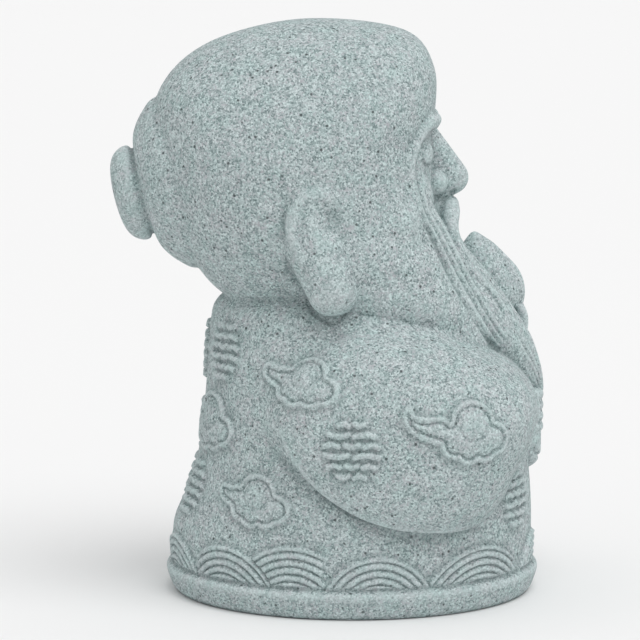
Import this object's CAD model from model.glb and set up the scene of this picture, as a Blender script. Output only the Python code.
# The longevity god ornament in fine detail: one casting in sand-filled resin on a pale floor.
# Metres, +Z up; the figure's own places and outlines are listed in mm. It faces -Y, its right is -X.
# A bearing is in degrees and turns from the front over the figure's right side.
import math

import bpy
import numpy as np
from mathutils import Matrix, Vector


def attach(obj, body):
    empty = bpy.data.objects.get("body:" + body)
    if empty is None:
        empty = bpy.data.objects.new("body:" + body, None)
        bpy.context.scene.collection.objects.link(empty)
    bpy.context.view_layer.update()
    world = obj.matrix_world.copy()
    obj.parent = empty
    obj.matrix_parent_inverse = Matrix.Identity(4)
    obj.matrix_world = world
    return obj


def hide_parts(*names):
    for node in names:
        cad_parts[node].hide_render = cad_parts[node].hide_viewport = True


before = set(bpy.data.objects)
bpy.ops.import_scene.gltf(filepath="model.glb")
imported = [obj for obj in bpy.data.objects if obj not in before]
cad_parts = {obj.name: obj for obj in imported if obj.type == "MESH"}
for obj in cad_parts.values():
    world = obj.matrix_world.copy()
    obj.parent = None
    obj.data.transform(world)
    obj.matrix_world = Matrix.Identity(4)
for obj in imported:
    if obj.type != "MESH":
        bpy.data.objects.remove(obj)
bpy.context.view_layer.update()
mm = 0.001
farAway = 99.0  # further than any line or edge reaches, in mm

detail = {  # how finely the forms are drawn
    "ballCuts": 4,
    "ringSides": 128,
    "rimSides": 192,
    "stationSteps": 4,
    "profileSteps": 3,
    "outlineSteps": 5,
    "swellSteps": 48,
    "strandSides": 5,
    "strandSteps": 8,
    "tailSteps": 8,
    "lineSteps": 6,
}


# By-hand tools

def selectOnly(obj):
    bpy.ops.object.select_all(action="DESELECT")
    obj.select_set(True)
    bpy.context.view_layer.objects.active = obj


def startEditing(obj):
    selectOnly(obj)
    bpy.ops.object.mode_set(mode="EDIT")
    bpy.ops.mesh.select_all(action="SELECT")


def stopEditing():
    bpy.ops.object.mode_set(mode="OBJECT")


def joinAll(objects, name):
    bpy.ops.object.select_all(action="DESELECT")
    for obj in objects:
        obj.select_set(True)
    bpy.context.view_layer.objects.active = objects[0]
    bpy.ops.object.join()
    joined = bpy.context.object
    joined.name = name
    bpy.ops.object.transform_apply(location=True, rotation=True, scale=True)
    return joined


def applyModifier(obj, kind, **settings):
    selectOnly(obj)
    modifier = obj.modifiers.new(kind.lower(), kind)
    for key, value in settings.items():
        setattr(modifier, key, value)
    bpy.ops.object.modifier_apply(modifier=modifier.name)


def stretchSkin(name, balls):  # a skin stretched over balls (x, y, z, radius) in mm
    made = []
    bpy.ops.object.select_all(action="DESELECT")
    for x, y, z, radius in balls:
        place = (x * mm, y * mm, z * mm)
        bpy.ops.mesh.primitive_ico_sphere_add(
            subdivisions=detail["ballCuts"], radius=radius * mm, location=place)
        made.append(bpy.context.object)
    skin = joinAll(made, name)
    startEditing(skin)
    bpy.ops.mesh.convex_hull()
    stopEditing()
    return skin


def stackRings(name, ring, layers):  # a filled ring, then layers of (shift, scale, centre)
    bpy.ops.object.select_all(action="DESELECT")
    bpy.ops.mesh.primitive_circle_add(vertices=len(ring), radius=mm, fill_type="NGON")
    stack = bpy.context.object
    stack.name = name
    for vertex, place in zip(stack.data.vertices, ring):
        vertex.co = place
    startEditing(stack)
    for shift, scale, centre in layers:
        bpy.ops.mesh.extrude_region_move(TRANSFORM_OT_translate={"value": shift})
        bpy.ops.transform.resize(value=scale, center_override=centre)
    stopEditing()
    return stack


def layStrand(name, route, radii):  # a round strand through the points of a route, in mm
    bpy.ops.object.select_all(action="DESELECT")
    bpy.ops.curve.primitive_bezier_curve_add()
    strand = bpy.context.object
    strand.name = name
    spline = strand.data.splines[0]
    spline.bezier_points.add(len(route) - 2)
    for point, place, radius in zip(spline.bezier_points, route, radii):
        point.co = Vector(place) * mm
        point.handle_left_type = "AUTO"
        point.handle_right_type = "AUTO"
        point.radius = radius
    strand.data.bevel_depth = mm
    strand.data.bevel_resolution = detail["strandSides"]
    strand.data.resolution_u = detail["strandSteps"]
    strand.data.use_fill_caps = True
    bpy.ops.object.convert(target="MESH")
    return bpy.context.object


def smoothRoute(points, steps, closed=False):  # a smooth run through the points
    pts = [np.array(p, float) for p in points]
    count = len(pts)
    found = []
    for i in range(count if closed else count - 1):
        near = [(i + k - 1) % count if closed else min(max(i + k - 1, 0), count - 1) for k in range(4)]
        a, b, c, d = (pts[k] for k in near)
        for k in range(steps):
            t = k / steps
            bend = (2 * a - 5 * b + 4 * c - d) * t**2 + (3 * b - a - 3 * c + d) * t**3
            found.append(0.5 * (2 * b + (c - a) * t + bend))
    if not closed:
        found.append(pts[-1])
    return found


def loft(name, stations):  # level ellipses: height, half width, front, back
    rows = [tuple(float(v) for v in row) for row in smoothRoute(stations, detail["stationSteps"])]
    sides = detail["ringSides"]
    angles = [2 * math.pi * k / sides for k in range(sides)]

    def middle(row):
        return Vector((0, (row[2] + row[3]) / 2 * mm, row[0] * mm))

    half, front, back = rows[0][1:]
    reach = (back - front) / 2
    start = middle(rows[0])
    ring = [start + Vector((half * math.cos(a), reach * math.sin(a), 0)) * mm for a in angles]
    layers = []
    for low, high in zip(rows, rows[1:]):
        deep = (high[3] - high[2]) / (low[3] - low[2])
        layers.append((middle(high) - middle(low), (high[1] / low[1], deep, 1), middle(high)))
    return stackRings(name, ring, layers)


def turnOnAxis(name, profile, centre, axis, sides=detail["ringSides"]):  # (along, radius) pairs
    axis = Vector(axis).normalized()
    across = axis.orthogonal().normalized()
    third = axis.cross(across)
    rows = [tuple(float(v) for v in row) for row in smoothRoute(profile, detail["profileSteps"])]
    along, radius = rows[0]
    angles = [2 * math.pi * k / sides for k in range(sides)]
    start = Vector(centre) * mm + axis * along * mm
    ring = [start + (across * math.cos(a) + third * math.sin(a)) * radius * mm for a in angles]
    layers = []
    for low, high in zip(rows, rows[1:]):
        grow = high[1] / low[1]
        place = Vector(centre) * mm + axis * high[0] * mm
        layers.append((axis * (high[0] - low[0]) * mm, (grow, grow, grow), place))
    return stackRings(name, ring, layers)


# An outline in (y, z) swells along x: to both sides of the near plane, or to one side if half
def swellOutline(name, outline, middle, near, far, fullness, half=False):
    loop = smoothRoute(outline, detail["outlineSteps"], closed=True)
    count = detail["swellSteps"]
    rows = []
    for k in range(0 if half else 1 - count // 2, count // 2):
        a = math.pi * k / count
        side = near + (far - near) * math.copysign(abs(math.sin(a)) ** (2 / fullness), a)
        rows.append((side, math.cos(a) ** (2 / fullness)))
    mid = Vector((0, middle[0], middle[1]))
    side, reach = rows[0]
    ring = [(Vector((side, 0, 0)) + mid + (Vector((0, p[0], p[1])) - mid) * reach) * mm for p in loop]
    layers = []
    for low, high in zip(rows, rows[1:]):
        grow = high[1] / low[1]
        shift = Vector((high[0] - low[0], 0, 0)) * mm
        layers.append((shift, (1, grow, grow), (Vector((high[0], 0, 0)) + mid) * mm))
    return stackRings(name, ring, layers)


def bothSides(make, name, rows, *rest):  # the figure's right as given, and its left mirrored
    mirrored = [(-row[0], *row[1:]) for row in rows]
    return [make("right" + name, rows, *rest), make("left" + name, mirrored, *rest)]


# The robe and the foot

robe = {
    "stations": [  # height, half width, front, back
        (-3, 35, -35, 35), (2, 36.5, -36.5, 36.5), (6, 37.7, -37.7, 37.7), (14, 37.6, -38.1, 37.9),
        (21, 37.7, -37.9, 35), (28, 37.4, -37.4, 32.8), (36, 36.8, -37.6, 31.6), (44, 35, -36, 30.9),
        (51, 32.2, -31, 30.6), (57, 28.6, -24, 29.9), (61.5, 24.4, -16, 28.4), (66, 16.6, -8, 22),
    ],
    "rim": [  # height, radius
        (-3, 37.4), (0, 37.4), (0.5, 38), (1.2, 38.4), (2.5, 38.9), (4, 39.38), (4.7, 39.5), (5.2, 39.3),
        (5.55, 38.9), (5.8, 38.4), (6.2, 38), (6.9, 37.8), (7.4, 37.6), (7.4, 35.5),
    ],
    "sleeve": [  # outline from the side: y, z
        (2.2, 59.1), (-9.5, 58.8), (-17.9, 56.6), (-26.4, 53.6), (-33.8, 48.8), (-38.4, 42), (-37, 34),
        (-34, 27.9), (-31.4, 22), (-26.6, 16.8), (-17.4, 13), (-8.4, 12.2), (1.2, 14.6), (11, 21),
        (17.6, 29.6), (20.8, 36.8), (19.4, 44.6), (13.2, 53),
    ],
    "sleeveMiddle": (-12.5, 34),
    "sleeveInner": 8,
    "sleeveReach": 42.6,
    "sleeveFullness": 3,
    "forearm": [(-16, -20, 42, 11.5), (-11, -28.2, 39.4, 10.6)],
    "cuff": [(12, -31.6, 42, 9.4), (9.5, -36.6, 27.6, 4.2), (14.5, -34.5, 27.4, 4.6),
             (19, -31, 28.2, 5.1), (17.5, -23, 42, 12)],
}


def makeRobe():
    forms = [loft("robe", robe["stations"])]
    forms.append(turnOnAxis("rim", robe["rim"], (0, 0, 0), (0, 0, 1), detail["rimSides"]))
    for name, side in (("rightSleeve", -1), ("leftSleeve", 1)):
        near = side * robe["sleeveInner"]
        far = side * robe["sleeveReach"]
        forms.append(swellOutline(name, robe["sleeve"], robe["sleeveMiddle"], near, far,
                                  robe["sleeveFullness"], half=True))
    forms += bothSides(stretchSkin, "Forearm", robe["forearm"])
    forms.append(stretchSkin("leftCuff", robe["cuff"]))
    return forms


# The head

head = {
    "outline": [  # from the side: y, z
        (9, 120.3), (-5, 119.4), (-13.4, 116.5), (-17.2, 110), (-17.5, 103), (-16.6, 97), (-16.6, 90),
        (-17.6, 80), (-17.6, 70), (-13, 61.5), (-3, 57.5), (12, 57.5), (22, 59.8), (27.8, 63.2),
        (32, 67.6), (37.5, 76), (41.4, 88), (41.8, 101), (38.4, 108.8), (31.3, 114.7), (21, 118.5),
    ],
    "middle": (11.5, 85),
    "reach": 29.6,
    "fullness": 2.3,
    "hairCentre": (0, 43.6, 84.2),
    "hairTilt": 14,
    "collar": [  # along the axis, radius
        (-15, 16.8), (-10, 18.2), (-6.2, 18.4), (-3.6, 16.4), (-1.8, 14.4), (-0.5, 12.2), (0, 10.2),
        (0.3, 8.2)],
    "bun": [(-6, 9), (0.3, 9), (1.2, 10), (2.7, 10.1), (4.6, 9), (5.8, 7), (6.4, 4), (6.6, 0.8)],
    "hairStrokes": 17,
    "hairDeep": 0.13,
    "jowl": [(-15.8, 2, 72, 13.4), (-14.5, -9, 67, 11), (-12, -18.2, 59.4, 7.2), (-13.4, -23, 55.4, 5.6)],
    "ear": [(-26, 8.9, 81.6, 4.9), (-26.6, 9.4, 75.4, 5), (-28.6, 4.6, 66, 5.2)],
    "earRim": [(-26.6, 3, 81.4), (-28.4, 3.8, 84), (-29.2, 6.8, 85.6), (-29.5, 10.4, 84.4),
               (-29.6, 12, 80.8), (-30.1, 11.8, 76), (-30.8, 9.8, 71.4)],
    "earRimRadii": [0.8, 1.3, 1.7, 1.8, 1.8, 1.7, 1.3],
}

face = {  # calm, in thirds from brow to nose to chin
    "nose": [(0, -14.6, 95.5, 3.6), (0, -20.9, 87, 3.6), (0, -15.5, 85.2, 4.6)],
    "wing": [(-4.2, -17.2, 86.2, 2.7), (-2.4, -14.5, 86.4, 3.4)],
    "lid": [(-7.8, -13.4, 92.2, 3.3), (-12.8, -11.2, 92, 3.3), (-10.2, -12.8, 92.6, 3.9)],
    "cheek": [(-12.5, -9.5, 84, 7), (-15.5, -6.5, 78, 9), (-18, 0, 77, 9), (-16, 0, 66, 9),
              (-9.4, -12.3, 79.6, 5)],
    "lips": [(0, -18.6, 78.2, 2.4), (-5, -16.4, 78.4, 2), (5, -16.4, 78.4, 2), (0, -15, 79, 6)],
    "chin": [(0, -16.8, 75.8, 3.2), (0, -13, 80, 6.5), (-6, -12.5, 77, 5.5), (6, -12.5, 77, 5.5)],
}

beard = {
    "stations": [  # height, half width, front, back
        (78.6, 8, -17.5, -8), (75, 12.5, -21, -8), (71, 15.6, -25.2, -8.5), (66, 16.8, -29.4, -10),
        (60, 15.8, -33.8, -14), (54, 13.2, -37.6, -18), (49, 9.6, -39.5, -22), (45, 6.3, -40.4, -28),
        (42, 3.1, -40.6, -34), (40.4, 0.8, -40.2, -38),
    ],
    "brow": [(-3.6, -16.9, 98.2), (-9, -16.6, 99.6), (-15, -13.8, 97.6), (-18.4, -11.8, 92.8),
             (-19.2, -11.6, 87.7), (-19.4, -12.6, 83)],
    "browRadii": [1.2, 1.8, 1.7, 1.3, 0.9, 0.4],
    "moustache": [(-0.6, -21, 81.6), (-4.6, -20.6, 80.2), (-8.6, -20.6, 75.5), (-10.6, -24.2, 69),
                  (-9.8, -29.4, 62.4), (-7.4, -34, 56.4)],
    "moustacheRadii": [1.5, 2, 1.8, 1.6, 1.3, 0.7],
    "strandLine": [  # from temple to chest, seen from the side: y, z
        (-14.6, 97), (-12.5, 91.8), (-12.6, 87.7), (-14.3, 81.1), (-16.8, 76.4), (-19.6, 70.8),
        (-21.5, 67.1), (-24.1, 62.5), (-26.9, 57.8), (-29.2, 54.2), (-32.2, 50.6)],
    "strandGap": 1.15,
    "strandHigh": 0.3,
    "strandDeep": 0.22,
    "creaseDeep": 0.6,
    "hollowDeep": 0.2,
    "strokes": 13,
    "strokeDeep": 0.4,
    "strokeWave": 0.12,  # how far the strokes sway
    "whisker": [(-15.2, -10, 87, 3), (-15, -12.3, 80.5, 4.2), (-13.6, -15.4, 74, 5),
                (-12.4, -19.2, 68, 5)],
}

hands = {
    "right": [(-2.8, -36.4, 39.4, 3), (-2.8, -36.4, 36.4, 3), (-8.5, -33.4, 38, 4.2)],
    "left": [(13, -33.8, 53, 4), (18, -30.5, 53.2, 4), (9, -34, 54, 3.2), (13, -28, 50, 6)],
    "peach": [(15, -28.2, 61, 9.3), (13, -27.4, 67.5, 5.4), (12.4, -26.4, 73, 1.4)],
    "rightFinger": [(-8.6, -35.6, 0), (-5.4, -38.4, 0.2), (-1, -39, 0), (1.5, -37, -0.3)],
    "rightFingersUp": (41.2, 38.9, 36.6, 34.4),
    "leftFinger": [(0, -33, 51.4), (0.2, -36, 53), (0.3, -36.6, 56.2), (0.2, -36, 59)],
    "leftFingersAcross": (8.6, 11.2, 13.8, 16.4),
    "fingerRadii": [1.3, 1.35, 1.3, 0.9],
}


def makeHead():
    forms = [swellOutline("skull", head["outline"], head["middle"], 0, head["reach"], head["fullness"])]
    tilt = math.radians(head["hairTilt"])
    axis = (0, math.cos(tilt), -math.sin(tilt))
    forms.append(turnOnAxis("hairCollar", head["collar"], head["hairCentre"], axis))
    forms.append(turnOnAxis("bun", head["bun"], head["hairCentre"], axis))
    forms += bothSides(stretchSkin, "Jowl", head["jowl"])
    forms += bothSides(stretchSkin, "Ear", head["ear"])
    forms += bothSides(layStrand, "EarRim", head["earRim"], head["earRimRadii"])
    for name in ("nose", "lips", "chin"):
        forms.append(stretchSkin(name, face[name]))
    for name in ("wing", "lid", "cheek"):
        forms += bothSides(stretchSkin, name.capitalize(), face[name])
    return forms


def makeBeard():
    forms = [loft("beard", beard["stations"])]
    forms += bothSides(stretchSkin, "Whisker", beard["whisker"])
    for name in ("brow", "moustache"):
        forms += bothSides(layStrand, name.capitalize(), beard[name], beard[name + "Radii"])
    return forms


def makeHands():
    forms = [stretchSkin(name + "Hold", hands[name]) for name in ("right", "left", "peach")]
    for up in hands["rightFingersUp"]:
        route = [(x, y, up + z) for x, y, z in hands["rightFinger"]]
        forms.append(layStrand("rightFinger", route, hands["fingerRadii"]))
    for across in hands["leftFingersAcross"]:
        route = [(across + x, y, z) for x, y, z in hands["leftFinger"]]
        forms.append(layStrand("leftFinger", route, hands["fingerRadii"]))
    return forms


# The clay that all forms are merged in

clay = {
    "voxel": 0.26 * mm,
    "softSteps": 14,
    "softness": 0.5,
    "softCheeks": [(19, -6, 82, 13), (22, -10, 70, 13), (22, -2, 90, 12), (20, -18, 61, 9),
                   (17, -25, 57, 8), (14, -20, 68, 6), (27, -8, 60, 8), (24, -18, 56, 8)],
    "cheekSteps": 260,
    "softEar": [(29, 6, 84, 8), (28, 14, 72, 7), (28, 0, 72, 7), (26, 12, 65, 7), (23, 17, 61, 8),
                (14, 27, 60, 9), (16.5, -12, 91, 4)],
    "earSteps": 130,
    "softHair": [(12, 31, 102, 12), (19, 33, 92, 12), (20, 33, 80, 12), (15, 31, 70, 12),
                 (9.5, 43.4, 84.2, 5.5), (8, 42, 90, 5), (8, 45, 78.5, 5)],
    "hairSteps": 120,
    "softFold": [(25, -2, 61, 7), (24.5, -9, 60.4, 7.5), (23, -16, 59, 7), (20, -22, 57.5, 5)],
    "foldSteps": 260,
    "wearSteps": 24,
    "triangles": 195000,
    "cutReach": 0.000001,
}

forms = makeRobe() + makeHead() + makeBeard() + makeHands()
print("forms made:", len(forms))
statue = joinAll(forms, "statueCasting")
applyModifier(statue, "REMESH", mode="VOXEL", voxel_size=clay["voxel"])
applyModifier(statue, "SMOOTH", factor=clay["softness"], iterations=clay["softSteps"])
print("clay merged:", len(statue.data.vertices), "points")


def readVectors(mesh, what):
    values = np.empty(len(mesh.vertices) * 3, np.float32)
    mesh.vertices.foreach_get(what, values)
    return values.reshape(-1, 3).astype(float)


def softenPlace(obj, name, places, steps):  # melts the joints in round places (x, y, z, reach)
    levels = 8  # of strength, full up to 3/8 of the reach and on both sides of the figure
    points = readVectors(obj.data, "co") / mm
    share = np.zeros(len(points))
    for x, y, z, reach in places:
        away = np.linalg.norm((np.abs(points[:, 0]) - x, points[:, 1] - y, points[:, 2] - z), axis=0)
        share = np.maximum(share, np.clip(1.6 - 1.6 * away / reach, 0, 1))
    group = obj.vertex_groups.new(name=name)
    for level in range(1, levels + 1):
        chosen = np.nonzero(np.round(share * levels) == level)[0]
        group.add(chosen.tolist(), level / levels, "REPLACE")
    applyModifier(obj, "SMOOTH", factor=clay["softness"], iterations=steps, vertex_group=name)
    obj.vertex_groups.clear()


softenPlace(statue, "cheeks", clay["softCheeks"], clay["cheekSteps"])
softenPlace(statue, "ears", clay["softEar"], clay["earSteps"])
softenPlace(statue, "hairEdge", clay["softHair"], clay["hairSteps"])


# Carving: each function gives how far the surface moves out at each point, in mm

def step(low, high, value):  # 0 below low, 1 above high
    t = np.clip((value - low) / (high - low), 0, 1)
    return t * t * (3 - 2 * t)


def ridge(offset, width):  # 1 in the middle, fading to both sides
    return np.exp(-((offset / width) ** 2))


waves = {
    "fans": [  # bearing and height of the middle, radius of the first groove, bearings of its ends
        (7, -1, 12.6, -12, 30), (109.3, 0.1, 13.5, 97.5, 124), (46.2, -3.4, 15.7, 20, 67),
        (134.1, -0.4, 12.6, 110, 147.2), (82.3, 0.9, 10.8, 60, 106), (333, -1, 12.6, 300, 366),
        (299.5, -1, 12.6, 270, 330), (266, -1, 12.6, 240, 300), (232, -1, 12.6, 200, 260),
        (198.5, -1, 12.6, 170, 230), (165, -1, 12.6, 140, 190)],
    "fade": (3.2, 0.9),  # degrees, towards the front and towards the back
    "pitch": 1.52,
    "outerBand": 1.35,
    "relief": 0.85,
    "bandTop": (0.8, 0.2),  # height beside the grooves, and what the middle of a band adds
    "groove": 0.21,
    "grooveDeep": 0.62,
    "edgeRound": 0.8,
    "hem": 37.7,  # radius of the robe over the rim
    "floor": 6.0,
    "setsIn": (5.9, 6.6),  # heights
}


def carveWaves(points):
    bearing = np.arctan2(-points[:, 0], -points[:, 1])
    height = np.zeros(len(points))
    above = step(*waves["setsIn"], points[:, 2])
    frontFade, backFade = waves["fade"]
    base, swell = waves["bandTop"]
    half = waves["pitch"] / 2
    for middle, z, radius, low, high in waves["fans"]:
        turn = (bearing - math.radians(middle) + math.pi) % (2 * math.pi) - math.pi
        depth = radius - np.hypot(turn * waves["hem"], points[:, 2] - z)
        degrees = np.degrees(turn) + middle
        between = step(low, low + frontFade, degrees) * (1 - step(high - backFade, high, degrees))
        inside = (depth > -waves["outerBand"]) & (points[:, 2] > waves["floor"] - 0.2) & (between > 0)
        toGroove = np.abs((depth + half) % waves["pitch"] - half)
        toGroove = np.where(depth < -half, farAway, toGroove)
        band = base + swell * np.sin(np.clip(toGroove / waves["pitch"], 0, 0.5) * math.pi)
        band = band - waves["grooveDeep"] * ridge(toGroove, waves["groove"])
        edge = step(-waves["outerBand"], -waves["outerBand"] + waves["edgeRound"], depth)
        height = np.where(inside, waves["relief"] * band * edge * between * above, height)
    return height


cloud = {
    "relief": 0.85,
    "plate": 0.9,  # this and the other heights here are shares of the relief
    "edgeHalf": 0.35,
    "grooveIn": 1.15,
    "grooveWidth": 0.3,
    "grooveDeep": 0.6,
    "hollow": (1.0, 1.4),  # from and to, in mm from the edge
    "hollowDeep": 0.16,
    "dome": (1.3, 4.2),
    "domeHigh": 0.3,
    "boss": 0.6,  # share of the first lobe
    "bossSlope": (-1.6, -0.1),
    "bossHigh": 0.16,
    "bossGroove": (0.28, 0.3),  # width, depth
    "bossFrom": (1.4, 2.2),
    "reach": 16,
    "small": [  # x, y, radius: the lobes, then the tail
        (0.4, 0.7, 4.5), (4.6, -1.9, 3.1), (2.6, -3, 2.9), (-0.4, -3.1, 2.9), (-2.7, -1.9, 2.9)],
    "smallTail": [(-4.6, 0.3, 2.5), (-6.2, 0.6, 2), (-7.3, 1.1, 1.8), (-7.8, 1.7, 1.4)],
    "large": [(-0.2, 0.4, 5), (4.6, -2.3, 3.3), (2.3, -3.8, 3.1), (-1.2, -4.1, 3.2), (-4.2, -3, 3.2)],
    "largeTail": [(-7.5, -0.3, 2.8), (-10.2, 0.1, 2.2), (-12.3, 0.9, 1.8), (-13.7, 2.5, 1.3),
                  (-13.6, 4.1, 0.9)],
    "places": [  # bearing, height, turn, side, kind, stretch
        (106.9, 48.5, 4, 1, "small", 1.2), (59.8, 39.9, 0, 1, "large", 0.94),
        (123.8, 23.4, 3, 1, "small", 1.12), (156.5, 38, 0, 1, "large", 1.35),
        (-106.5, 48.5, 0, -1, "small", 1.2), (-62, 39.5, 0, -1, "large", 0.92),
        (-120, 25, -2, -1, "small", 1), (-149, 40, -6, -1, "small", 1),
    ],
}


def outlineOf(circles):  # points round the outside of overlapping circles
    around = np.linspace(0, 2 * math.pi, 120, endpoint=False)
    found = []
    for x, y, radius in circles:
        ring = np.stack((x + radius * np.cos(around), y + radius * np.sin(around)), 1)
        free = np.ones(len(ring), bool)
        for cx, cy, other in circles:
            free &= np.hypot(ring[:, 0] - cx, ring[:, 1] - cy) > other - 0.001
        found.append(ring[free])
    return np.concatenate(found)


def carveCloud(kind):
    circles = cloud[kind] + [tuple(p) for p in smoothRoute(cloud[kind + "Tail"], detail["tailSteps"])]
    rim = outlineOf(circles)
    x, y, radius = cloud[kind][0]

    def shape(s, t):  # a rolled edge, a groove inside it, and a domed middle with its own ring
        away = np.full(s.shape, farAway)
        for point in rim:
            away = np.minimum(away, np.hypot(s - point[0], t - point[1]))
        inside = np.zeros(s.shape, bool)
        for cx, cy, reach in circles:
            inside |= np.hypot(s - cx, t - cy) < reach
        depth = np.where(inside, away, -away)
        edge = step(-cloud["edgeHalf"], cloud["edgeHalf"], depth)
        groove = ridge(depth - cloud["grooveIn"], cloud["grooveWidth"]) * (depth > 0)
        dome = step(*cloud["dome"], depth)
        around = np.hypot(s - x, t - y) - cloud["boss"] * radius
        width, deep = cloud["bossGroove"]
        boss = cloud["bossHigh"] * (1 - step(*cloud["bossSlope"], around)) - deep * ridge(around, width)
        middle = boss * step(*cloud["bossFrom"], depth)
        hollow = cloud["hollowDeep"] * step(*cloud["hollow"], depth)
        plate = cloud["plate"] * edge - cloud["grooveDeep"] * groove - hollow
        return cloud["relief"] * (plate + cloud["domeHigh"] * dome + middle)

    return shape


emblem = {
    "relief": 0.8,
    "radius": 6.1,
    "rows": [(0.85, 2), (0.51, 2), (0.17, 3), (-0.17, 2), (-0.51, 3), (-0.85, 2)],  # height, strokes
    "gap": 0.1,  # this, the bow and the stroke's edge are shares of the radius
    "bow": 0.07,
    "strokeEdge": (0.05, 0.14),
    "reach": 8,
    "places": [  # bearing, height
        (90.7, 35.2), (150, 52), (163, 22.8), (182, 50.8), (27, 21.5), (-91, 35.5), (-164, 24),
        (-27, 17)],
}


def carveEmblem(s, t):  # rows of short bowed strokes in a round field
    height = np.zeros(s.shape)
    s, t = s / emblem["radius"], t / emblem["radius"]
    for row, (y, count) in enumerate(emblem["rows"]):
        reach = math.sqrt(1 - y * y)
        for k in range(count):
            low = -reach + 2 * reach * k / count + emblem["gap"]
            high = -reach + 2 * reach * (k + 1) / count - emblem["gap"]
            share = np.clip((s - low) / (high - low), 0, 1)
            bow = (-1) ** (row + k) * emblem["bow"] * (np.sin(math.pi * share) - 0.5)
            off = np.hypot(s - np.clip(s, low, high), t - y - bow)
            height = np.maximum(height, 1 - step(*emblem["strokeEdge"], off))
    return emblem["relief"] * height


def motifFrame(obj, bearing, z, turn):  # a motif's place on the robe, and its right, up and outward ways
    outside = 0.12  # metres from the middle, well clear of the robe
    a = math.radians(bearing)
    out = Vector((-math.sin(a), -math.cos(a), 0))
    hit, place, normal, face = obj.ray_cast(out * outside + Vector((0, 0, z * mm)), -out)
    right = Vector((0, 0, 1)).cross(normal).normalized()
    up = normal.cross(right)
    t = math.radians(turn)
    turned = right * math.cos(t) + up * math.sin(t)
    return place / mm, turned, up * math.cos(t) - right * math.sin(t), normal


def carveMotif(height, points, where, shape, reach, side=1, stretch=1):
    place, right, up, normal = (np.array(v) for v in where)
    offset = points - place
    s, t, deep = (offset @ v for v in (right, up, normal))
    wall = reach * 0.8  # leaves the far side of the robe alone
    near = (np.hypot(s, t) < reach) & (np.abs(deep) < wall)
    height[near] += shape(s[near] * side / stretch, t[near])


def carveHollow(height, points, place, radius, deep):  # a soft round hollow, or a swelling below 0
    away = np.linalg.norm(points - np.array(place), axis=1)
    height -= deep * (1 - step(0.15 * radius, radius, away))


# The distance from a drawn line, positive on the right of its run, and the share of its length
def followLine(a, b, line):
    best = np.full(a.shape, farAway)
    signed = np.full(a.shape, farAway)
    along = np.zeros(a.shape)
    lengths = [float(np.hypot(*(q - p))) for p, q in zip(line, line[1:])]
    walked = 0.0
    for p, q, length in zip(line, line[1:], lengths):
        ahead = (q - p) / length
        t = np.clip((a - p[0]) * ahead[0] + (b - p[1]) * ahead[1], 0, length)
        da, db = a - p[0] - ahead[0] * t, b - p[1] - ahead[1] * t
        away = np.hypot(da, db)
        closer = away < best
        best = np.where(closer, away, best)
        signed = np.where(closer, np.where(ahead[0] * db - ahead[1] * da > 0, -away, away), signed)
        along = np.where(closer, (walked + t) / sum(lengths), along)
        walked += length
    return signed, along


def carveLine(height, points, keep, route, profile, axes=(1, 2), margin=9):
    line = np.array(smoothRoute(route, detail["lineSteps"]))
    a, b = points[:, axes[0]], points[:, axes[1]]
    low, high = line.min(0) - margin, line.max(0) + margin
    near = np.nonzero(keep & (a > low[0]) & (a < high[0]) & (b > low[1]) & (b < high[1]))[0]
    offset, along = followLine(a[near], b[near], line)
    height[near] += profile(offset, along)


# In the profiles, offset is in mm from the line and along is the share of its length

def strandProfile(offset, along):  # three strands side by side, with a crease on the cheek side
    gap = beard["strandGap"]
    on = step(0, 0.1, along) * (1 - step(0.88, 1, along))
    ridges = ridge(offset, 0.42) + ridge(offset - gap, 0.4) * step(0.12, 0.3, along)
    ridges = ridges + ridge(offset - 2 * gap, 0.4) * step(0.28, 0.4, along)
    grooves = ridge(offset - gap / 2, 0.26) + ridge(offset - 1.5 * gap, 0.26) * step(0.2, 0.35, along)
    grooves = grooves + 0.8 * ridge(offset - 2.5 * gap, 0.3) * step(0.3, 0.42, along)
    crease = ridge(offset + 0.72, 0.42) * step(0.25, 0.5, along)
    soft = ridge(offset + 1.6, 1.3) * step(0.3, 0.6, along)
    relief = beard["strandHigh"] * ridges - beard["strandDeep"] * grooves
    return on * (relief - beard["creaseDeep"] * crease - beard["hollowDeep"] * soft)


edges = {  # heights and depths
    "sleeveLip": 0.75,
    "sleeveSunk": 1.0,
    "sleeveGroove": 0.45,
    "cuffRim": 0.4,
    "cuffHollow": 1.2,
    "earGroove": 0.55,
}


def sleeveProfile(offset, along):  # the sleeve's lower edge rolls out over the robe
    on = step(0, 0.16, along) * (1 - step(0.6, 1, along))
    over = step(-0.3, 0.35, offset)
    lip = edges["sleeveLip"] * over * (1 - step(1.2, 8, offset))
    sunk = edges["sleeveSunk"] * (1 - over) * (1 - step(0.6, 7, -offset))
    return on * (lip - sunk - edges["sleeveGroove"] * ridge(offset + 0.5, 0.35))


def cuffProfile(offset, along):  # the sleeve's mouth: a rolled rim, and a hollow towards the hand
    on = step(0, 0.15, along) * (1 - step(0.85, 1, along))
    hollow = step(0, 1, -offset) * (1 - step(1, 5, -offset))
    return on * (edges["cuffRim"] * ridge(offset - 0.4, 0.8) - edges["cuffHollow"] * hollow)


def earProfile(offset, along):  # the crease round the lobe
    on = step(0, 0.2, along) * (1 - step(0.9, 1, along))
    return -edges["earGroove"] * on * ridge(offset, 0.6)


def fineGroove(deep, width):
    def profile(offset, along):
        return -deep * ridge(offset, width) * step(0, 0.12, along) * (1 - step(0.88, 1, along))
    return profile


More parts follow.
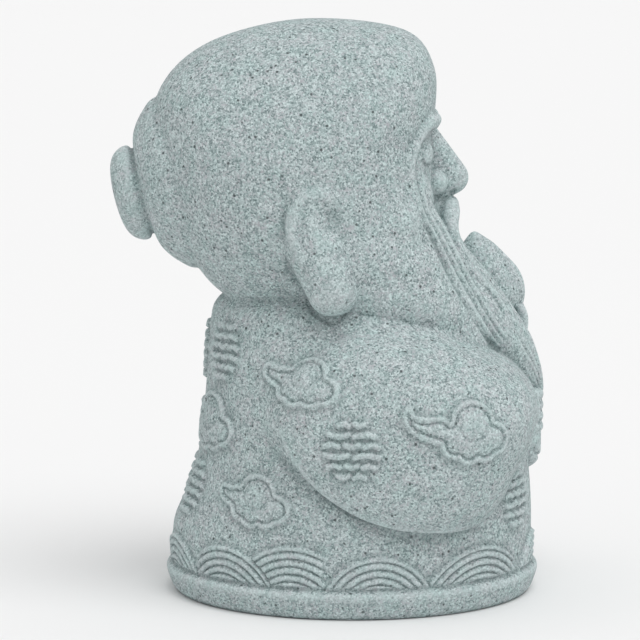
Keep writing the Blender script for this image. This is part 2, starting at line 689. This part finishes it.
lines = {
    "sleeve": [  # y, z
        (15.6, 40.5), (14.1, 35.2), (10.9, 30.6), (7.2, 26.6), (3.5, 23.9), (-0.6, 21.5), (-4.5, 20),
        (-9.5, 18.7), (-16.7, 17.7), (-20.3, 17.3), (-26.1, 17.3), (-29.3, 18.1), (-31.6, 20)],
    "ear": [(14.3, 74), (12.9, 69.5), (10.9, 66), (8.8, 62.1), (6.6, 60.2), (4, 59.4), (1.5, 60.6)],
    "eyelid": [(5.8, 91.8), (8, 90.6), (10.6, 90.1), (13, 90.7), (14.6, 92)],  # x, z
    "mouth": [(-5.4, 79.2), (-2.6, 78.5), (0, 78.7), (2.6, 78.5), (5.4, 79.2)],
    "robeEdge": [(9, 37), (5, 30), (1.5, 21), (-0.5, 12), (-1, 6.5)],
    "peach": [(12.4, 72.4), (12.8, 68), (13.6, 62), (14.4, 56)],
    "leftCuff": [(5, 28.4), (9.5, 26), (14.5, 25.6), (19, 26.4), (23, 28)],
    "rightCuff": [(-13.5, 44), (-16.6, 42), (-19, 38.5), (-20.4, 34.5), (-20.4, 30.6), (-18, 27.8),
                  (-13, 27)],
}

fromMiddle = {"strands": 6, "sleeve": 14, "ear": 17}  # the side lines lie further out than this

fronts = {  # the front lines lie before this y; depth and half width of the groove
    "eyelid": (-8, 0.45, 0.3),
    "mouth": (-8, 0.55, 0.32),
    "robeEdge": (-33, 0.7, 0.5),
    "peach": (-30, 0.7, 0.6),
    "leftCuff": (-28, 0.5, 0.4),
}
cuffFront = -28


def carveLines(height, points):
    aside = np.abs(points[:, 0])
    folded = np.column_stack((aside, points[:, 1:]))
    carveLine(height, points, aside > fromMiddle["strands"], beard["strandLine"], strandProfile)
    carveLine(height, points, aside > fromMiddle["sleeve"], lines["sleeve"], sleeveProfile)
    carveLine(height, points, aside > fromMiddle["ear"], lines["ear"], earProfile)
    for name, (front, deep, width) in fronts.items():
        where = folded if name == "eyelid" else points  # one drawn eyelid serves both eyes
        carveLine(height, where, points[:, 1] < front, lines[name], fineGroove(deep, width), (0, 2))
    carveLine(height, points, points[:, 1] < cuffFront, lines["rightCuff"], cuffProfile, (0, 2))


def carveBeardStrands(height, points):  # strands that follow the beard from cheek to tip
    rows = np.array(beard["stations"], float)[::-1]
    half, front, back = (np.interp(points[:, 2], rows[:, 0], rows[:, k]) for k in (1, 2, 3))
    across = points[:, 0] / half
    along = (points[:, 1] - (front + back) / 2) / ((back - front) / 2)
    angle = np.arctan2(-along, across)
    near = np.hypot(across, along)
    on = step(0.8, 0.9, near) * (1 - step(1.12, 1.2, near)) * step(0.25, 0.5, -along)
    middle = 1 - step(0.62, 0.86, np.abs(across))
    on *= step(40.5, 43, points[:, 2]) * (1 - step(71, 76, points[:, 2])) * middle
    wave = beard["strokeWave"] * np.sin(points[:, 2] * 0.35 + across * 2)
    line = np.abs(np.sin(beard["strokes"] * (angle + wave)))
    height -= beard["strokeDeep"] * on * (1 - line) ** 1.5


def carveHair(height, points):  # combed strokes over the ring of hair and the bun
    tilt = math.radians(head["hairTilt"])
    offset = points - np.array(head["hairCentre"])
    along = offset @ np.array((0, math.cos(tilt), -math.sin(tilt)))
    up = offset @ np.array((0, math.sin(tilt), math.cos(tilt)))
    around = np.arctan2(up, offset[:, 0])
    away = np.hypot(up, offset[:, 0])
    ring = step(-11, -7, along) * (1 - step(-1.4, -0.4, along)) * step(9, 11, away)
    strokes = np.abs(np.sin(around * head["hairStrokes"] + 0.25 * along + 0.5 * np.sin(around * 5)))
    height -= head["hairDeep"] * ring * (1 - strokes) ** 2


hollows = [  # x, y, z, reach, depth, on both sides
    (31, 4.4, 80, 4.4, 1),  # the ear
    (2.1, -21, 84.2, 1.3, 0.7),  # the nostril
    (25, -2, 61.5, 8, -1.4), (24.5, -9, 61, 8, -1.4), (22.5, -16, 59.5, 8, -1.4),  # fill under the cheek
]


def carve(obj):
    points = readVectors(obj.data, "co") / mm
    normals = readVectors(obj.data, "normal")
    height = carveWaves(points)
    for bearing, z, turn, side, kind, stretch in cloud["places"]:
        where = motifFrame(obj, bearing, z, turn)
        carveMotif(height, points, where, carveCloud(kind), cloud["reach"], side, stretch)
    for bearing, z in emblem["places"]:
        carveMotif(height, points, motifFrame(obj, bearing, z, 0), carveEmblem, emblem["reach"])
    for side in (-1, 1):
        for x, y, z, reach, deep in hollows:
            carveHollow(height, points, (side * x, y, z), reach, deep)
    carveBeardStrands(height, points)
    carveHair(height, points)
    carveLines(height, points)
    moved = (points + normals * height[:, None]) * mm
    obj.data.vertices.foreach_set("co", moved.astype(np.float32).ravel())
    obj.data.update()


def markWear(obj, steps):  # how far each point stands out, in mm: below 0 in creases
    mesh = obj.data
    points = readVectors(mesh, "co") / mm
    normals = readVectors(mesh, "normal")
    ends = np.empty(len(mesh.edges) * 2, np.int32)
    mesh.edges.foreach_get("vertices", ends)
    first, second = ends[::2], ends[1::2]
    count = np.bincount(ends, minlength=len(points))[:, None]
    soft = points.copy()
    for k in range(steps):
        total = np.empty_like(soft)
        for axis in range(3):
            total[:, axis] = np.bincount(first, soft[second, axis], len(points))
            total[:, axis] += np.bincount(second, soft[first, axis], len(points))
        soft = total / count
    proud = ((points - soft) * normals).sum(1)
    wear = mesh.attributes.new("wear", "FLOAT", "POINT")
    wear.data.foreach_set("value", proud.astype(np.float32))


carve(statue)
softenPlace(statue, "fold", clay["softFold"], clay["foldSteps"])
markWear(statue, clay["wearSteps"])
triangles = sum(len(p.vertices) - 2 for p in statue.data.polygons)
kept = min(1.0, clay["triangles"] / triangles)
applyModifier(statue, "DECIMATE", ratio=kept, use_collapse_triangulate=True)
startEditing(statue)
bpy.ops.mesh.bisect(plane_co=(0, 0, 0), plane_no=(0, 0, 1), clear_inner=True, use_fill=True,
                    threshold=clay["cutReach"])
stopEditing()
selectOnly(statue)
bpy.ops.object.shade_smooth()
applyModifier(statue, "WEIGHTED_NORMAL")
print("carved:", len(statue.data.polygons), "faces")


# The stone finish

class Wire:  # a socket that sums can be written with
    def __init__(self, tree, socket):
        self.tree = tree
        self.socket = socket

    def node(self, kind, settings, inputs, output=0):
        made = self.tree.nodes.new(kind)
        for key, value in settings.items():
            if key == "stops":
                ramp = made.color_ramp
                while len(ramp.elements) < len(value):
                    ramp.elements.new(1)
                for element, (place, shade) in zip(ramp.elements, value):
                    element.position = place
                    element.color = shade
            else:
                setattr(made, key, value)
        for key, value in inputs.items():
            if isinstance(value, Wire):
                self.tree.links.new(value.socket, made.inputs[key])
            else:
                made.inputs[key].default_value = value
        return Wire(self.tree, made.outputs[output])

    def sum(self, operation, first, second):
        return self.node("ShaderNodeMath", {"operation": operation}, {0: first, 1: second})

    def __add__(self, other):
        return self.sum("ADD", self, other)

    __radd__ = __add__

    def __sub__(self, other):
        return self.sum("SUBTRACT", self, other)

    def __rsub__(self, other):
        return self.sum("SUBTRACT", other, self)

    def __mul__(self, other):
        return self.sum("MULTIPLY", self, other)

    __rmul__ = __mul__

    def above(self, level, soft):  # 0 below the level, 1 above it
        return self.node("ShaderNodeMapRange", {"clamp": True}, {
            "Value": self, "From Min": level - soft, "From Max": level + soft,
            "To Min": 0.0, "To Max": 1.0})


stone = {
    "deep": (0.162, 0.212, 0.214, 1),
    "dark": (0.256, 0.322, 0.322, 1),
    "base": (0.369, 0.440, 0.440, 1),
    "pale": (0.475, 0.560, 0.558, 1),
    "bright": (0.591, 0.690, 0.683, 1),
    "toneStops": (0.14, 0.3, 0.48, 0.68, 0.86),  # deep to bright
    "lilac": (0.430, 0.450, 0.470, 1),
    "lilacFrom": 0.86,  # grains above this are lilac
    "lilacShare": 0.7,
    "black": (0.045, 0.055, 0.055, 1),
    "blackShare": 0.85,
    "crease": (0.135, 0.180, 0.180, 1),
    "creaseAt": -0.12,
    "creaseSoft": 0.10,
    "creaseShare": 0.42,
    "worn": (0.560, 0.655, 0.650, 1),
    "wornAt": 0.10,
    "wornSoft": 0.08,
    "wornShare": 0.42,
    "speckGap": (1.9 * mm, 1.1 * mm),
    "speckShare": (0.90, 0.93),  # cells above this have a speck
    "speckSize": (0.16, 0.26),  # share of the gap
    "grain": 0.37 * mm,
    "grainShare": 0.62,
    "fineGrain": 0.21 * mm,
    "fineShare": 0.38,
    "patch": 1.3 * mm,
    "patchShare": 0.05,
    "drift": 3.5 * mm,
    "driftTints": ((0.955, 1.0, 0.997, 1), (1.045, 1.0, 1.02, 1)),
    "rough": 0.82,
    "roughSpread": 0.1,
    "specular": 0.3,
    "bumpStrength": 0.55,
    "bumpDepth": 0.12 * mm,
    "dust": 0.35 * mm,
}


def mixColour(wire, factor, first, second):
    return wire.node("ShaderNodeMix", {"data_type": "RGBA"}, {0: factor, 6: first, 7: second}, 2)


def stoneFinish():
    material = bpy.data.materials.new("sandstone")
    material.use_nodes = True
    tree = material.node_tree
    shader = tree.nodes["Principled BSDF"]
    start = Wire(tree, None)
    place = start.node("ShaderNodeTexCoord", {}, {}, 3)

    def cells(size, output, offset):
        moved = start.node("ShaderNodeVectorMath", {"operation": "ADD"}, {0: place, 1: offset})
        return start.node("ShaderNodeTexVoronoi", {"voronoi_dimensions": "3D"}, {
            "Vector": moved, "Scale": 1 / size, "Randomness": 1.0}, output)

    def channel(colour, index):
        return start.node("ShaderNodeSeparateColor", {}, {"Color": colour}, index)

    def cloudy(size, octaves, offset):
        moved = start.node("ShaderNodeVectorMath", {"operation": "ADD"}, {0: place, 1: offset})
        return start.node("ShaderNodeTexNoise", {}, {
            "Vector": moved, "Scale": 1 / size, "Detail": octaves})

    grains = cells(stone["grain"], 1, (0, 0, 0))
    tone = channel(grains, 0)
    fine = channel(cells(stone["fineGrain"], 1, (0.013, 0.007, 0.021)), 0)
    patch = cloudy(stone["patch"], 2, (0.05, 0.3, 0.1)).above(0.5, 0.2)
    mixed = tone * stone["grainShare"] + fine * stone["fineShare"] + (patch - 0.5) * stone["patchShare"]
    shades = [stone[name] for name in ("deep", "dark", "base", "pale", "bright")]
    stops = list(zip(stone["toneStops"], shades))
    colour = start.node("ShaderNodeValToRGB", {"stops": stops}, {"Fac": mixed})
    lilac = channel(grains, 1).above(stone["lilacFrom"], 0.02) * stone["lilacShare"]
    colour = mixColour(start, lilac, colour, stone["lilac"])
    offset = (0.031, 0.011, 0.005)
    for gap, share, size in zip(stone["speckGap"], stone["speckShare"], stone["speckSize"]):
        rare = channel(cells(gap, 1, offset), 0).above(share, 0.001)
        speck = rare * (1 - cells(gap, 0, offset).above(size, 0.06))
        colour = mixColour(start, speck * stone["blackShare"], colour, stone["black"])
    wear = start.node("ShaderNodeAttribute", {"attribute_name": "wear"}, {}, 2)
    crease = 1 - wear.above(stone["creaseAt"], stone["creaseSoft"])
    colour = mixColour(start, crease * stone["creaseShare"], colour, stone["crease"])
    worn = wear.above(stone["wornAt"], stone["wornSoft"])
    colour = mixColour(start, worn * stone["wornShare"], colour, stone["worn"])
    drift = cloudy(stone["drift"], 4, (0.2, 0.1, 0)).above(0.5, 0.16)
    tint = mixColour(start, drift, *stone["driftTints"])
    colour = start.node("ShaderNodeMix", {"data_type": "RGBA", "blend_type": "MULTIPLY"}, {
        0: 1.0, 6: colour, 7: tint}, 2)
    rough = mixed * stone["roughSpread"] + stone["rough"]
    dust = cloudy(stone["dust"], 2, (0, 0, 0))
    bumps = cells(stone["grain"], 0, (0, 0, 0)) * -1.0 + tone * 0.5 + dust * 0.8
    normal = start.node("ShaderNodeBump", {}, {
        "Strength": stone["bumpStrength"], "Distance": stone["bumpDepth"], "Height": bumps})
    for key, value in (("Base Color", colour), ("Roughness", rough), ("Normal", normal)):
        tree.links.new(value.socket, shader.inputs[key])
    shader.inputs["Specular IOR Level"].default_value = stone["specular"]
    return material


statue.data.materials.clear()
statue.data.materials.append(stoneFinish())
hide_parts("statue")
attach(statue, "root")
print("finish on")


# Floor, light and camera

studio = {
    "floorSize": 24.0,
    "floorHeight": -0.0002,
    "floorShade": (0.86, 0.86, 0.86, 1),
    "floorRough": 0.9,
    "air": 0.71,
    "sunPower": 1.38,
    "sunSpread": 50,  # degrees
    "sunFrom": (-0.38, -0.28, 0.87),
}

bpy.ops.object.select_all(action="DESELECT")
bpy.ops.mesh.primitive_plane_add(size=studio["floorSize"], location=(0, 0, studio["floorHeight"]))
floor = bpy.context.object
floor.name = "floor"
floorFinish = bpy.data.materials.new("floorPaper")
floorFinish.use_nodes = True
floorShader = floorFinish.node_tree.nodes["Principled BSDF"]
floorShader.inputs["Base Color"].default_value = studio["floorShade"]
floorShader.inputs["Roughness"].default_value = studio["floorRough"]
floor.data.materials.append(floorFinish)

scene = bpy.context.scene
world = bpy.data.worlds.new("softAir")
scene.world = world
world.use_nodes = True
air = world.node_tree.nodes["Background"]
air.inputs["Color"].default_value = (1, 1, 1, 1)
air.inputs["Strength"].default_value = studio["air"]
scene.view_settings.view_transform = "Standard"

bpy.ops.object.light_add(type="SUN", location=(0, 0, 1))
sun = bpy.context.object
sun.name = "softLight"
sun.data.energy = studio["sunPower"]
sun.data.angle = math.radians(studio["sunSpread"])
sun.rotation_euler = Vector(studio["sunFrom"]).to_track_quat("Z", "Y").to_euler()

view = {
    "eye": (-0.700, 0.0068, 0.140),
    "aim": (0, 0.0068, 0.05665),
    "focal": 3331,  # in pixels of a picture that is 640 pixels wide
    "picture": 640,
    "sensor": 36,
}
bpy.ops.object.camera_add(location=view["eye"])
camera = bpy.context.object
sight = Vector(view["aim"]) - Vector(view["eye"])
camera.rotation_euler = sight.to_track_quat("-Z", "Y").to_euler()
camera.data.lens = view["focal"] * view["sensor"] / view["picture"]
camera.data.sensor_width = view["sensor"]
scene.camera = camera
